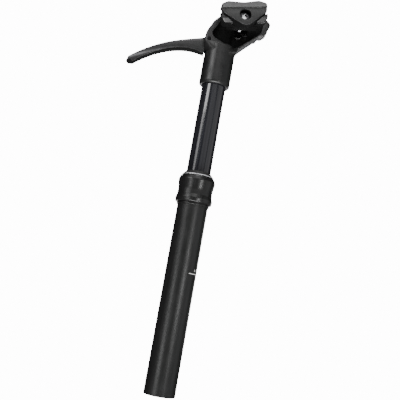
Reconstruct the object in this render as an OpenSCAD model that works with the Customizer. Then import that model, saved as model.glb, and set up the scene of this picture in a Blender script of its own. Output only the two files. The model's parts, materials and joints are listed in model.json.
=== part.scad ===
// Dropper seatpost: a telescopic bicycle seatpost with a lever under the saddle.
// Frame: origin on the axis where the outer tube's straight wall begins, +Z up the post,
// +X towards the handlebar, +Y to the rider's left.  Millimetres.

/* [Outer tube] */
// Outside diameter, the seat tube size
outer_d = 31.6; // [30.9:0.1:34.9]
// Wall of the outer tube
outer_wall = 1.9; // [1.6:0.1:2.4]
// Length of the outer tube, whose top is inside the collar
outer_len = 207; // [170:1:280]
// Number of keyways inside the tube
key_count = 3; // [2:1:4]
// Width of a keyway
key_w = 4; // [3:0.5:5]
// Depth of a keyway into the wall
key_depth = 0.6; // [0.4:0.1:0.8]

/* [Inner tube] */
// Outside diameter of the sliding tube
inner_d = 25; // [22:0.5:26]
// Wall of the sliding tube
inner_wall = 1.8; // [1.5:0.1:2.2]
// Drop of the saddle
travel = 90; // [60:5:125]
// Length that stays in the outer tube at full height
overlap = 103; // [85:1:130]
// Gap that is left above the wiper at full drop
drop_gap = 4; // [2:0.5:8]

/* [Seal collar] */
// Height of the collar
collar_h = 30.8; // [28:0.2:40]
// How far the two rings of the collar stand out from the tube
collar_swell = 3.2; // [2:0.1:5]
// How far the waist between the rings stands out
collar_waist = 2; // [1:0.1:3]
// Height of the collar above the end of the tube
collar_rise = 12; // [9:0.5:16]
// Height of the wiper's cone above the collar
wiper_h = 4.6; // [3:0.1:6]

/* [Head] */
// Wall of the sleeve that holds the sliding tube
sleeve_wall = 3.7; // [3:0.1:4.4]
// Depth of the sleeve's socket
socket_depth = 30.5; // [25:0.5:40]
// Distance of the clamp bolt behind the post's axis
setback = 16.5; // [10:0.5:24]
// Height of the clamp bolt above the sleeve's lower rim
bolt_rise = 70.5; // [68:0.5:80]
// Nose-down angle of the rails to the post's square section
clamp_tilt = 13.5; // [8:0.5:17]
// Thickness of the middle web
web_t = 10; // [9:0.5:12]
// Width of the head across its tail
tail_w = 14; // [12:0.5:18]
// Diameter of the lever's pivot pin
pivot_d = 4; // [3:0.5:5]

/* [Lever] */
// Reach of the lever from the post's axis
lever_reach = 94.5; // [75:0.5:110]
// Drop of the lever's tip below its pivot
lever_drop = 39; // [20:0.2:45]
// Width of the lever at its root
lever_w = 9; // [7:0.5:9]
// Height of the lever's root
lever_root_h = 19.8; // [15:0.2:21]
// Height of the lever's blade near the tip
lever_tip_h = 8.8; // [6:0.2:10]
// Angle that the lever is pulled up by
lever_pull = 12; // [8:1:14]

/* [Saddle clamp] */
// Diameter of a saddle rail
rail_d = 7; // [7:0.1:8]
// Distance between the two rails
rail_spacing = 44; // [42:0.5:46]
// Height of the rails above the clamp bolt
rail_rise = 7.4; // [7:0.1:9]
// Length of the jaws along the rails
jaw_len = 48.5; // [42:0.5:52]
// Thickness of a jaw, from its inner face outwards
jaw_t = 13.6; // [12.5:0.1:16]
// Gap between the cradle and a jaw that the bolt closes on the rail
squeeze = 0.8; // [0.4:0.1:1.2]
// Diameter of the clamp bolt
bolt_d = 6; // [5:0.5:6]

/* [Gas spring] */
// Outside diameter of the cartridge
cart_d = 18; // [16:0.5:19]
// Wall of the cartridge
cart_wall = 1.6; // [1.2:0.1:2]
// Diameter of the piston rod
rod_d = 8; // [7:0.5:10]
// Diameter of the release pin inside the rod
pin_d = 3; // [2:0.2:3.6]

/* [Hidden] */

$fn = 96;
fit = 0.02;            // clearance of pieces that are pressed or glued together
run = 0.04;            // radial clearance of pieces that slide or turn
apart = 0.3;           // gap between pieces that pass each other

// radii of the telescope
outer_r = outer_d / 2;
bore_r = outer_r - outer_wall;
thread_r = outer_r - 0.5;
inner_r = inner_d / 2;
inner_bore_r = inner_r - inner_wall;
sleeve_r = inner_r + sleeve_wall;

// heights of the telescope
collar_top = outer_len + collar_rise;
collar_z = collar_top - collar_h;
ring_t = 0.8;
wiper_top = collar_top + wiper_h;
stanchion_z = outer_len - overlap;
head_z = wiper_top + drop_gap + travel;
floor_z = head_z + socket_depth;
floor_t = 4;

// base of the outer tube, whose rounded edge is below the origin
foot_z = -0.8;
plug_z = 3;
plug_h = 9;
clip_t = 1.2;
clip_lip = 0.5;
screw_r = 3;

// keys at the foot of the sliding tube
key_len = 12;
key_sink = 1;
key_z = stanchion_z + 4;
bush_h = 12;
bush_z = key_z + key_len + 4;
upper_bush_h = 24;

// gas spring
cart_r = cart_d / 2;
cart_bore_r = cart_r - cart_wall;
rod_r = rod_d / 2;
pin_r = pin_d / 2;
cart_z = plug_z + plug_h;
cart_end_t = 5;
piston_h = 12;
gland_h = 14;
gland_cap_h = 3;
gland_top = floor_z - travel - 22;
piston_z = gland_top - gland_h - piston_h - 1;
seal_wire_r = 0.9;
rod_step = 1;          // step from the rod to its threaded end
rod_end_r = rod_r - rod_step;
nut_h = 4;
nut_r = rod_end_r + 1.8;
rod_top = floor_z + floor_t + nut_h + 1;
float_h = 12;
float_ratio = pow(rod_r / cart_bore_r, 2);
float_z = cart_z + cart_end_t + travel * float_ratio + 14;

// lever and its pivot, seen from the left: x forward, z up
pivot_r = pivot_d / 2;
pivot_x = sleeve_r - 1.7;
pivot_z = floor_z + 16.3;
hub_r = 6.3;
pin_head_r = 2.8;
pin_head_h = 2;
pin_stroke = pivot_x * sin(lever_pull);
pin_top = rod_top + pin_stroke + pin_head_h + 0.6;
adjuster_r = 2;
adjuster_z = pin_top + apart;
arm_z = adjuster_z + 2.2;
arm_h = 4.6;
arm_back = 4.5;
adjuster_nut_h = 2.2;
adjuster_nut_r = 3.6;
slot_w = lever_w + 2 * apart;
slot_low = floor_z + 0.3;

// saddle clamp, in its own frame: origin on the bolt, x along the rails
bolt_x = -setback;
bolt_z = head_z + bolt_rise;
bolt_r = bolt_d / 2;
bolt_hole_r = bolt_r + 0.15;
rail_r = rail_d / 2;
rail_y = rail_spacing / 2;
cheek_out = rail_y - squeeze / 2;
jaw_in = rail_y + squeeze / 2;
jaw_out = jaw_in + jaw_t;
boss_out = rail_y - 4;
cheek_in = boss_out + apart;
boss_in = 4.5;
boss_r = bolt_r + 3.5;
barrel_r = boss_r + 2.5;
bridge_t = 3.2;
bridge_half = 9;
bore_head_r = bolt_r + 3;
head_seat = jaw_in + rail_r + 0.1;
washer_t = 0.8;
bolt_head_r = bolt_r + 2;
bolt_head_h = 3.4;
hex_af = bolt_d - 1;
nut_af = bolt_d + 4;
clamp_nut_h = 5;
vee_apex = -13;
vee_end = [jaw_len / 2 - 1.8, 2.4];
lobe_gap = 0.7;
lobe_out = jaw_out - 2.4;
lobe_low = -6;

// Points along the arc that rounds corner b, between its neighbours a and c
function unit(v) = v / norm(v);
function corner(a, b, c, r, n = 8) =
  r <= 0 ? [b] :
  let (u = unit(a - b), v = unit(c - b), half = acos(u * v) / 2,
       m = b + unit(u + v) * r / sin(half),
       p = unit(b + u * r / tan(half) - m), q = unit(b + v * r / tan(half) - m))
  [for (i = [0:n]) m + r * unit(p * (1 - i / n) + q * i / n)];

// An outline of [x, y, corner radius] with its corners rounded
function xy(p) = [p[0], p[1]];
function rounded(pts) =
  let (n = len(pts))
  [for (i = [0:n - 1])
    each corner(xy(pts[(i + n - 1) % n]), xy(pts[i]), xy(pts[(i + 1) % n]), pts[i][2])];
function mirrored(half) =
  concat(half, [for (i = [len(half) - 1:-1:0])
    if (half[i][0] > 0) [-half[i][0], half[i][1], half[i][2]]]);

// A ring about Z, from a closed profile of [radius, height, corner radius]
module turned(profile) {
  rotate_extrude() polygon(rounded(profile));
}

module tube(r_out, r_in, h) {
  difference() {
    cylinder(r = r_out, h = h);
    translate([0, 0, -1]) cylinder(r = r_in, h = h + 2);
  }
}

// A side outline made into a slab between two distances from the middle plane
module slab(y0, y1) {
  translate([0, y1, 0]) rotate([90, 0, 0]) linear_extrude(y1 - y0) children();
}

module pin_y(r, y0, y1, sides = 0) {
  translate([0, y1, 0]) rotate([90, 0, 0])
    cylinder(r = r, h = y1 - y0, $fn = sides > 0 ? sides : $fn);
}

module in_clamp() {
  translate([bolt_x, 0, bolt_z]) rotate([0, clamp_tilt, 0]) children();
}

module both_sides() {
  children();
  mirror([0, 1, 0]) children();
}

function hex_r(af) = af / 2 / cos(30);

// The outer tube, with its keyways
module outer_tube() color("#1d1e20") {
  difference() {
    turned([
      [bore_r, foot_z, 0.4], [outer_r, foot_z, 0.6], [outer_r, collar_z - fit, 0],
      [thread_r, collar_z - fit, 0], [thread_r, outer_len, 0.4], [bore_r, outer_len, 0.4]
    ]);
    for (k = [0:key_count - 1]) rotate([0, 0, 180 + k * 360 / key_count])
      translate([bore_r - 1, -key_w / 2, plug_z + plug_h + 1])
        cube([1 + key_depth, key_w, outer_len]);
    translate([0, 0, plug_z - clip_t])
      tube(bore_r + clip_lip, bore_r - 1, clip_t);
  }
}

// The seal collar: two swelling rings with a waist between them
module seal_collar() color("#26272a") {
  low = outer_r + collar_swell + 0.1;
  high = outer_r + collar_swell;
  waist = outer_r + collar_waist - 0.1;
  seat_r = outer_r - 0.6;
  lip_r = bore_r - 0.5;
  turned([
    [thread_r + fit, collar_z, 0], [outer_r + 0.9, collar_z, 0.3], [outer_r + 0.9, collar_z + 1.5, 0.3],
    [outer_r + 0.4, collar_z + 1.8, 0], [outer_r + 0.4, collar_z + 2.4, 0], [low - 0.5, collar_z + 2.9, 1],
    [low, collar_z + 6.8, 2], [waist + 0.6, collar_z + 9.6, 1],
    [waist + 0.3, collar_z + 10.4, 0], [waist, collar_z + 16, 14], [high, collar_top - 5, 2.5],
    [high - 1.2, collar_top - 1.4, 1.6], [outer_r + 0.7, collar_top, 0.3], [seat_r, collar_top, 0],
    [seat_r, outer_len + 2, 0], [lip_r, outer_len + 2, 0],
    [lip_r, outer_len + fit, 0], [thread_r + fit, outer_len + fit, 0]
  ]);
}

module wiper_ring() color("#e6e7e8")
  translate([0, 0, collar_top]) tube(outer_r + 0.6, outer_r - 0.55, ring_t);

// The rubber wiper, with a body in the collar and a cone round the sliding tube
module wiper_seal() color("#141414") {
  lip_r = inner_r + run;
  body_r = outer_r - 0.65;
  z0 = outer_len + 2 + fit;
  flange_z = collar_top + ring_t;
  turned([
    [lip_r, z0 + 1, 0], [lip_r + 0.8, z0, 0], [body_r, z0, 0.4], [body_r, flange_z, 0],
    [outer_r + 0.3, flange_z, 0.2], [outer_r - 0.1, flange_z + 0.7, 0.4],
    [lip_r + 0.9, wiper_top - 0.6, 0.8], [lip_r, wiper_top, 0.1], [lip_r, wiper_top - 2, 0],
    [lip_r + 0.5, wiper_top - 3, 0], [lip_r + 0.5, z0 + 3, 0], [lip_r, z0 + 2, 0]
  ]);
}

module upper_bushing() color("#8a8f88")
  translate([0, 0, outer_len - upper_bush_h]) tube(bore_r - fit, inner_r + run, upper_bush_h);

module base_plug() color("#55585c") translate([0, 0, plug_z])
  difference() {
    cylinder(r = bore_r - fit, h = plug_h);
    translate([0, 0, -1]) cylinder(r = screw_r + 0.1, h = plug_h + 2);
    translate([0, 0, -1]) cylinder(r = screw_r + 3.4, h = 4.5);
  }

module base_clip() color("#9aa0a6") translate([0, 0, plug_z - clip_t + fit])
  difference() {
    tube(bore_r + clip_lip - fit, bore_r - 2, clip_t - 2 * fit);
    translate([0, -3, -1]) cube([bore_r + 2, 6, clip_t + 2]);
  }

// The screw that holds the cartridge to the plug
module base_screw() color("#b6babd") translate([0, 0, plug_z + 0.5])
  difference() {
    union() {
      cylinder(r = screw_r + 2.5, h = 3 - fit);
      cylinder(r = screw_r, h = plug_h + cart_end_t - 2);
    }
    translate([0, 0, -1]) cylinder(r = hex_r(5), h = 3, $fn = 6);
  }

module cartridge_tube() color("#9fa4aa") {
  difference() {
    translate([0, 0, cart_z]) cylinder(r = cart_r, h = gland_top - gland_cap_h - cart_z);
    translate([0, 0, cart_z + cart_end_t]) cylinder(r = cart_bore_r, h = gland_top);
    translate([0, 0, cart_z - 1]) cylinder(r = screw_r + fit, h = cart_end_t);
  }
}

module cartridge_gland() color("#6d7278") {
  groove_z = gland_top - gland_h + 4;
  difference() {
    union() {
      translate([0, 0, gland_top - gland_h]) cylinder(r = cart_bore_r - fit, h = gland_h);
      translate([0, 0, gland_top - gland_cap_h]) cylinder(r = cart_r, h = gland_cap_h);
    }
    translate([0, 0, gland_top - gland_h - 1]) cylinder(r = rod_r + run, h = gland_h + 2);
    translate([0, 0, groove_z]) cylinder(r = rod_r + 2 * seal_wire_r + 0.1, h = 2 * seal_wire_r + 0.2);
  }
}

module o_ring(r_mid, z_mid) {
  translate([0, 0, z_mid]) rotate_extrude() translate([r_mid, 0]) circle(r = seal_wire_r, $fn = 32);
}

module rod_seal() color("#202020")
  o_ring(rod_r + run + seal_wire_r, gland_top - gland_h + 4.1 + seal_wire_r);

// The sliding tube, slotted for the keys at its foot
module stanchion() color("#101114") {
  difference() {
    turned([
      [inner_bore_r, stanchion_z, 0.3], [inner_r, stanchion_z, 0.8],
      [inner_r, floor_z - fit, 0.4], [inner_bore_r, floor_z - fit, 0.4]
    ]);
    for (k = [0:key_count - 1]) rotate([0, 0, 180 + k * 360 / key_count])
      translate([inner_r - key_sink, -key_w / 2, key_z]) cube([key_sink + 1, key_w, key_len]);
  }
}

module lower_bushing() color("#8a8f88")
  translate([0, 0, bush_z]) tube(bore_r - run, inner_r + fit, bush_h);

// Brass keys that stop the saddle from turning
module guide_keys() color("#b8923c") {
  for (k = [0:key_count - 1]) rotate([0, 0, 180 + k * 360 / key_count])
    translate([inner_r - key_sink + fit, -key_w / 2 + 0.05, key_z + 0.05])
      cube([bore_r + key_depth - 0.1 - inner_r + key_sink - fit, key_w - 0.1, key_len - 0.1]);
}

// Side outline of the forged head: x forward, z up from the sleeve's rim
front_x = sleeve_r + 2.6;
tail_x = -setback - 31;
head_outline = [
  [sleeve_r - 3, socket_depth - 8, 0], [front_x - 2, socket_depth + 4, 10],
  [front_x + 0.6, socket_depth + 17, 10], [front_x - 0.2, bolt_rise - 15.5, 10],
  [front_x - 6.2, bolt_rise - 2.6, 10], [front_x - 12.2, bolt_rise + 4.2, 1.5],
  [front_x - 15, bolt_rise + 3.4, 1.2], [tail_x + 8, bolt_rise + 12, 1.2],
  [tail_x + 5.6, bolt_rise + 13.4, 1.5], [tail_x - 2, bolt_rise + 8.6, 2.5],
  [tail_x + 3.3, bolt_rise + 1.8, 0.8], [tail_x + 1.6, bolt_rise + 0.7, 1],
  [tail_x + 1.8, bolt_rise - 2, 1.5], [tail_x + 6.4, bolt_rise - 6.4, 1.5],
  [tail_x + 9.2, bolt_rise - 6.4, 0.8], [tail_x + 10.8, bolt_rise - 8, 2],
  [-sleeve_r - 0.8, socket_depth + 12, 3], [-sleeve_r + 0.6, socket_depth + 4, 0],
  [-sleeve_r + 3, socket_depth - 8, 0]
];
// Side pocket between the head's front and rear walls, open at the top
pocket_outline = [
  [front_x - 15, bolt_rise + 20, 0], [front_x - 13.5, bolt_rise + 0.5, 12],
  [front_x - 11, bolt_rise - 5.5, 10], [front_x - 7, bolt_rise - 13.5, 8],
  [front_x - 6.2, socket_depth + 22.5, 5], [front_x - 10.6, socket_depth + 18.2, 6],
  [-sleeve_r + 3.2, socket_depth + 11, 4], [tail_x + 8, bolt_rise - 4, 8],
  [tail_x + 6, bolt_rise + 20, 0]
];

// Plan of the head above the sleeve: half outline, x forward, y sideways
module head_plan() {
  lug = sleeve_r - 3.4;
  half = [
    [front_x + 1, lug, 4], [pivot_x - 4, lug + 0.4, 6], [-4, lug, 12],
    [-sleeve_r - 1, tail_w / 2 + 1.5, 14], [tail_x - 1, tail_w / 2, 4]
  ];
  polygon(rounded(concat(half, [for (i = [4:-1:0]) [half[i][0], -half[i][1], half[i][2]]])));
}

// The forging before it is drilled and slotted
module head_mass() {
  blend_z = socket_depth + 8;
  blend_h = 6;
  intersection() {
    slab(-sleeve_r - 2, sleeve_r + 2) polygon(rounded(head_outline));
    union() {
      translate([0, 0, blend_z + blend_h]) linear_extrude(bolt_rise) head_plan();
      hull() {
        translate([0, 0, blend_z - 4]) cylinder(r = sleeve_r - 0.5, h = 1, $fn = 32);
        translate([0, 0, blend_z + blend_h]) linear_extrude(0.1) head_plan();
      }
    }
  }
}

// The web is thicker at the front, where the lever's slot runs through it
module head_pockets() {
  both_sides() difference() {
    slab(web_t / 2, sleeve_r + 5) polygon(rounded(pocket_outline));
    translate([-arm_back - 3.5, 0, 0]) cube([2 * sleeve_r, slot_w / 2 + 2.2, 2 * bolt_rise]);
  }
}

// Room above the bolt for the cradle's bridge, at any tilt
module bridge_room() {
  bridge_r = barrel_r + apart + bridge_t;
  intersection() {
    pin_y(bridge_r + 0.7, -rail_y, rail_y);
    translate([-rail_y, -rail_y, -0.8]) cube(2 * rail_y);
  }
}

// The notch that leaves the bolt open to view between its two bosses
module bolt_notch() {
  notch_w = 2 * boss_r + 2;
  translate([0, 0, -boss_r - 10 + notch_w / 2]) {
    pin_y(notch_w / 2, -web_t, web_t);
    translate([-notch_w / 2, -web_t, 0]) cube([notch_w, 2 * web_t, 60]);
  }
}

// The barrel that carries the clamp: two bosses, a crown and their cross bars
module bolt_barrel() {
  bar_half = 17;
  both_sides() {
    pin_y(boss_r, boss_in + 5, boss_out);
    translate([-bar_half, boss_in, -4.4]) cube([2 * bar_half, 7.5, 3.9]);
  }
  intersection() {
    pin_y(barrel_r, -boss_out, boss_out);
    translate([-barrel_r, -rail_y, bolt_r + 0.6]) cube([2 * barrel_r, 2 * rail_y, barrel_r]);
  }
}

// Room for the lever's hub, arm and root, and for the pin below them
module lever_room() {
  hub_gap = hub_r + 0.8;
  roof = pivot_z + 10;
  translate([0, 0, floor_z + floor_t]) cylinder(r = nut_r + 0.4, h = roof - floor_z - floor_t);
  slab(-slot_w / 2, slot_w / 2) {
    translate([pivot_x, pivot_z]) circle(r = hub_gap);
    polygon(rounded([
      [-arm_back - 1.2, arm_z - pin_stroke - 1.6, 1], [pivot_x - 3, arm_z - pin_stroke - 1.6, 0],
      [pivot_x - 3, slot_low, 2], [front_x + 5, slot_low, 0],
      [front_x + 5, roof, 0], [-arm_back - 1.2, roof, 1]
    ]));
  }
}

module head() color("#2b2c2f") {
  difference() {
    union() {
      translate([0, 0, head_z]) difference() {
        head_mass();
        head_pockets();
      }
      translate([0, 0, head_z]) turned([
        [inner_r - 4, 4, 0], [inner_r + 0.4, 4, 0], [inner_r + 0.4, 0, 0.3],
        [sleeve_r, 0, 2.6], [sleeve_r, socket_depth + 13.4, 0.6], [inner_r - 4, socket_depth + 13.4, 0]
      ]);
    }
    in_clamp() {
      bolt_notch();
      bridge_room();
    }
    translate([0, 0, head_z - 1]) cylinder(r = inner_r + fit, h = socket_depth + 1);
    translate([0, 0, floor_z - 1]) cylinder(r = rod_end_r + fit, h = floor_t + 2);
    lever_room();
    translate([pivot_x, 0, pivot_z]) pin_y(pivot_r + fit, -2 * sleeve_r, 2 * sleeve_r);
  }
  in_clamp() difference() {
    bolt_barrel();
    pin_y(bolt_hole_r, -2 * rail_y, 2 * rail_y);
  }
}

module pivot_pin() color("#c3c6c9")
  translate([pivot_x, 0, pivot_z]) pin_y(pivot_r, -sleeve_r + 3.2, sleeve_r - 3.2);

module piston_rod() color("#d0d2d4") {
  difference() {
    union() {
      translate([0, 0, piston_z]) cylinder(r = rod_end_r, h = rod_top - piston_z);
      translate([0, 0, piston_z + piston_h]) cylinder(r = rod_r, h = floor_z - fit - piston_z - piston_h);
    }
    translate([0, 0, piston_z - 1]) cylinder(r = pin_r + run, h = rod_top);
  }
}

module piston() color("#7d8288") {
  groove_z = piston_z + piston_h / 2 - seal_wire_r - 0.1;
  difference() {
    translate([0, 0, piston_z]) cylinder(r = cart_bore_r - run, h = piston_h - fit);
    translate([0, 0, piston_z - 1]) cylinder(r = rod_end_r + fit, h = piston_h + 2);
    translate([0, 0, groove_z])
      tube(cart_bore_r + 1, cart_bore_r - 2 * seal_wire_r - 0.1, 2 * seal_wire_r + 0.2);
  }
}

module piston_seal() color("#202020")
  o_ring(cart_bore_r - run - seal_wire_r, piston_z + piston_h / 2);

module rod_nut() color("#b8923c") translate([0, 0, floor_z + floor_t])
  difference() {
    cylinder(r = nut_r, h = nut_h);
    translate([0, 0, -1]) cylinder(r = rod_end_r + fit, h = nut_h + 2);
    for (a = [0, 90]) rotate([0, 0, a]) translate([-nut_r, -0.6, nut_h - 1.4]) cube([2 * nut_r, 1.2, 2]);
  }

// The lever's blade: sections along a curve from the hub to the tip
blade_root = [pivot_x + 4.5, pivot_z - 5.2];
blade_bend = [pivot_x + 45.5, pivot_z - 6.9];
blade_tip = [lever_reach, pivot_z - lever_drop];
blade_steps = 22;
blade_sides = 20;
function blade_mid(t) =
  (1 - t) * (1 - t) * blade_root + 2 * t * (1 - t) * blade_bend + t * t * blade_tip;
function blade_run(t) = unit((1 - t) * (blade_bend - blade_root) + t * (blade_tip - blade_bend));
function blade_end(t) = t < 0.95 ? 1 : sqrt(max(0.16, 1 - pow((t - 0.95) / 0.05, 2)));
function blade_h(t) = (lever_tip_h + (lever_root_h - lever_tip_h) * pow(1 - t, 5)) * blade_end(t);
function blade_w(t) = (lever_w + 2.2 * sin(180 * min(1, t * 1.5)) - 0.8 * t) * blade_end(t);
function soft(c) = sign(c) * pow(abs(c), 0.55);
function blade_ring(t) =
  let (m = blade_mid(t), d = blade_run(t), up = [-d[1], d[0]])
  [for (i = [0:blade_sides - 1])
    let (a = 360 * i / blade_sides, q = m + up * blade_h(t) / 2 * soft(sin(a)))
    [q[0], blade_w(t) / 2 * soft(cos(a)), q[1]]];

module lever_blade() {
  n = blade_sides;
  points = [for (k = [0:blade_steps]) each blade_ring(k / blade_steps)];
  walls = [for (k = [0:blade_steps - 1], i = [0:n - 1])
    let (j = (i + 1) % n, a = k * n, b = a + n)
    each [[a + i, b + j, a + j], [a + i, b + i, b + j]]];
  ends = [[for (i = [0:n - 1]) i], [for (i = [n - 1:-1:0]) blade_steps * n + i]];
  polyhedron(points, concat(walls, ends));
}

module lever() color("#232427") {
  half = lever_w / 2;
  difference() {
    union() {
      lever_blade();
      translate([pivot_x, 0, pivot_z]) pin_y(hub_r, -half, half);
      slab(-half, half) polygon(rounded([
        [-arm_back, arm_z, 1.5], [pivot_x - 3, arm_z, 0],
        [pivot_x + 5, slot_low + 4.5, 1], [pivot_x + 8, pivot_z - 5, 1],
        [pivot_x + 2, pivot_z + hub_r - 0.6, 0], [adjuster_nut_r + 1, arm_z + arm_h, 0.8],
        [-arm_back, arm_z + arm_h, 1.5]
      ]));
    }
    translate([pivot_x, 0, pivot_z]) pin_y(pivot_r + run, -lever_w, lever_w);
    translate([0, 0, arm_z - 5]) cylinder(r = adjuster_r + fit, h = arm_h + 10);
  }
}

module adjuster_screw() color("#b6babd") translate([0, 0, adjuster_z])
  difference() {
    union() {
      cylinder(r1 = adjuster_r / 2, r2 = adjuster_r, h = adjuster_r / 2);
      translate([0, 0, adjuster_r / 2])
        cylinder(r = adjuster_r, h = arm_z + arm_h + adjuster_nut_h + 0.6 - adjuster_z - adjuster_r / 2);
    }
    translate([0, 0, arm_z + arm_h + adjuster_nut_h - 1.4 - adjuster_z])
      cylinder(r = hex_r(2), h = 4, $fn = 6);
  }

module adjuster_nut() color("#8f9499") translate([0, 0, arm_z + arm_h])
  difference() {
    cylinder(r = adjuster_nut_r, h = adjuster_nut_h, $fn = 6);
    translate([0, 0, -1]) cylinder(r = adjuster_r + fit, h = adjuster_nut_h + 2);
  }

// The pin inside the rod, which opens the valve when the lever pushes it down
module release_pin() color("#d8d9da") {
  pin_low = piston_z + pin_stroke + 1;
  head_low = pin_top - pin_head_h;
  translate([0, 0, pin_low]) cylinder(r = pin_r, h = head_low - pin_low);
  translate([0, 0, head_low]) cylinder(r = pin_head_r, h = pin_head_h);
}

module floating_piston() color("#7d8288") translate([0, 0, float_z])
  difference() {
    cylinder(r = cart_bore_r - run, h = float_h);
    translate([0, 0, float_h - 4]) cylinder(r = cart_bore_r - 2.6, h = 6);
    translate([0, 0, float_h / 2 - 2 - seal_wire_r])
      tube(cart_bore_r + 1, cart_bore_r - 2 * seal_wire_r - 0.1, 2 * seal_wire_r + 0.2);
  }

module floating_seal() color("#202020")
  o_ring(cart_bore_r - run - seal_wire_r, float_z + float_h / 2 - 1.9);

// Cut that shapes a rail's half groove
module rail_cut() {
  translate([-jaw_len, rail_y, rail_rise]) rotate([0, 90, 0]) cylinder(r = rail_r, h = 2 * jaw_len);
}

// The side plates of the cradle, with lobes under the jaws' wings
module cradle_cheek() {
  end_x = jaw_len / 2 - 0.5;
  foot_x = end_x - 5;
  top_z = rail_rise + 2.4;
  slab(cheek_in, cheek_out) polygon(rounded(mirrored([
    [0, -boss_r - 2, 0], [boss_r - 1.5, -boss_r - 2, 2], [foot_x - 7, lobe_low, 2],
    [end_x, lobe_low, 4.7], [end_x, top_z, 2], [bridge_half, top_z, 0], [0, top_z, 0]
  ])));
  difference() {
    slab(cheek_in, lobe_out) polygon(rounded(mirrored([
      [0, lobe_low + 3, 0], [foot_x - 7.3, lobe_low + 3, 0], [foot_x - 7, lobe_low, 2.5],
      [end_x, lobe_low, 4.7], [end_x, vee_end[1] + 4, 0], [0, vee_end[1] + 4, 0]
    ])));
    vee_room();
    translate([-jaw_len, cheek_out, vee_end[1] - lobe_gap]) cube([2 * jaw_len, jaw_t, 20]);
    translate([-jaw_len, lobe_out - 4, lobe_low]) rotate([-45, 0, 0]) cube([2 * jaw_len, 12, 12]);
  }
}

// The space that a jaw's vee takes, with a gap round it
module vee_room() {
  slope = (vee_end[1] - vee_apex) / vee_end[0];
  gap = lobe_gap * sqrt(1 + slope * slope);
  x1 = vee_end[0] + 20;
  low = vee_apex - gap;
  slab(cheek_out, lobe_out + 1)
    polygon([[0, low], [x1, low + slope * x1], [x1, 60], [-x1, 60], [-x1, low + slope * x1]]);
}

module rail_cradle() color("#3a3b3e") in_clamp() {
  difference() {
    union() {
      both_sides() cradle_cheek();
      intersection() {
        difference() {
          pin_y(barrel_r + apart + bridge_t, -cheek_out, cheek_out);
          pin_y(barrel_r + apart, -cheek_in, cheek_in);
        }
        translate([-bridge_half, -rail_y, 2]) cube([2 * bridge_half, 2 * rail_y, 20]);
      }
    }
    pin_y(bolt_hole_r, -2 * rail_y, 2 * rail_y);
    both_sides() rail_cut();
  }
}

// Half outline of a jaw, from the bottom of its vee round to its top
jaw_half = [
  [0, vee_apex, 9], [vee_end[0], vee_end[1], 1.4], [jaw_len / 2, rail_rise + 5.6, 3.4],
  [jaw_len / 2 - 8.2, rail_rise + 9.6, 5], [0, rail_rise + 7.2, 16]
];

// A jaw: a vee round the bolt, and wings that press the rail against the cradle
module jaw() {
  bevel = 27;
  difference() {
    slab(jaw_in, jaw_out) polygon(rounded(mirrored(jaw_half)));
    rail_cut();
    pin_y(bolt_hole_r, 0, 2 * jaw_out);
    translate([-jaw_len, jaw_out, rail_rise + 0.8]) rotate([bevel, 0, 0]) cube([2 * jaw_len, 20, 20]);
  }
}

module left_jaw() color("#2f3033") in_clamp()
  difference() {
    jaw();
    pin_y(bore_head_r, head_seat, 2 * jaw_out);
  }

module right_jaw() color("#2f3033") in_clamp()
  difference() {
    mirror([0, 1, 0]) jaw();
    pin_y(hex_r(nut_af + 0.3), -2 * jaw_out, -head_seat, 6);
  }

module clamp_bolt() color("#d9dbdd") in_clamp()
  difference() {
    union() {
      pin_y(bolt_r, -head_seat - clamp_nut_h - 1, head_seat + washer_t + 1);
      pin_y(bolt_head_r, head_seat + washer_t, head_seat + washer_t + bolt_head_h);
    }
    pin_y(hex_r(hex_af), head_seat + washer_t + bolt_head_h - 2.6, 2 * jaw_out, 6);
  }

module clamp_washer() color("#c9cbcd") in_clamp()
  difference() {
    pin_y(bore_head_r - 0.5, head_seat, head_seat + washer_t);
    pin_y(bolt_r + 0.1, 0, 2 * jaw_out);
  }

module clamp_nut() color("#c9cbcd") in_clamp()
  difference() {
    pin_y(hex_r(nut_af), -head_seat - clamp_nut_h, -head_seat, 6);
    pin_y(bolt_r + fit, -2 * jaw_out, 0);
  }

outer_tube();
seal_collar();
wiper_ring();
wiper_seal();
upper_bushing();
base_plug();
base_clip();
base_screw();
cartridge_tube();
cartridge_gland();
rod_seal();
stanchion();
lower_bushing();
guide_keys();
head();
pivot_pin();
piston_rod();
piston();
piston_seal();
rod_nut();
lever();
adjuster_screw();
adjuster_nut();
release_pin();
floating_piston();
floating_seal();
rail_cradle();
left_jaw();
right_jaw();
clamp_bolt();
clamp_washer();
clamp_nut();
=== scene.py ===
# %% [markdown]
# # A dropper seatpost, dressed for its picture
# The CAD frame already has every piece of the post at its true size. This lesson loads that frame,
# sets up the photographer's view and light, softens the forged pieces, and gives each piece its finish.

# %% Load the frame
import json
import math

import bmesh
import bpy
import numpy as np
from mathutils import Matrix, Vector


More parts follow.
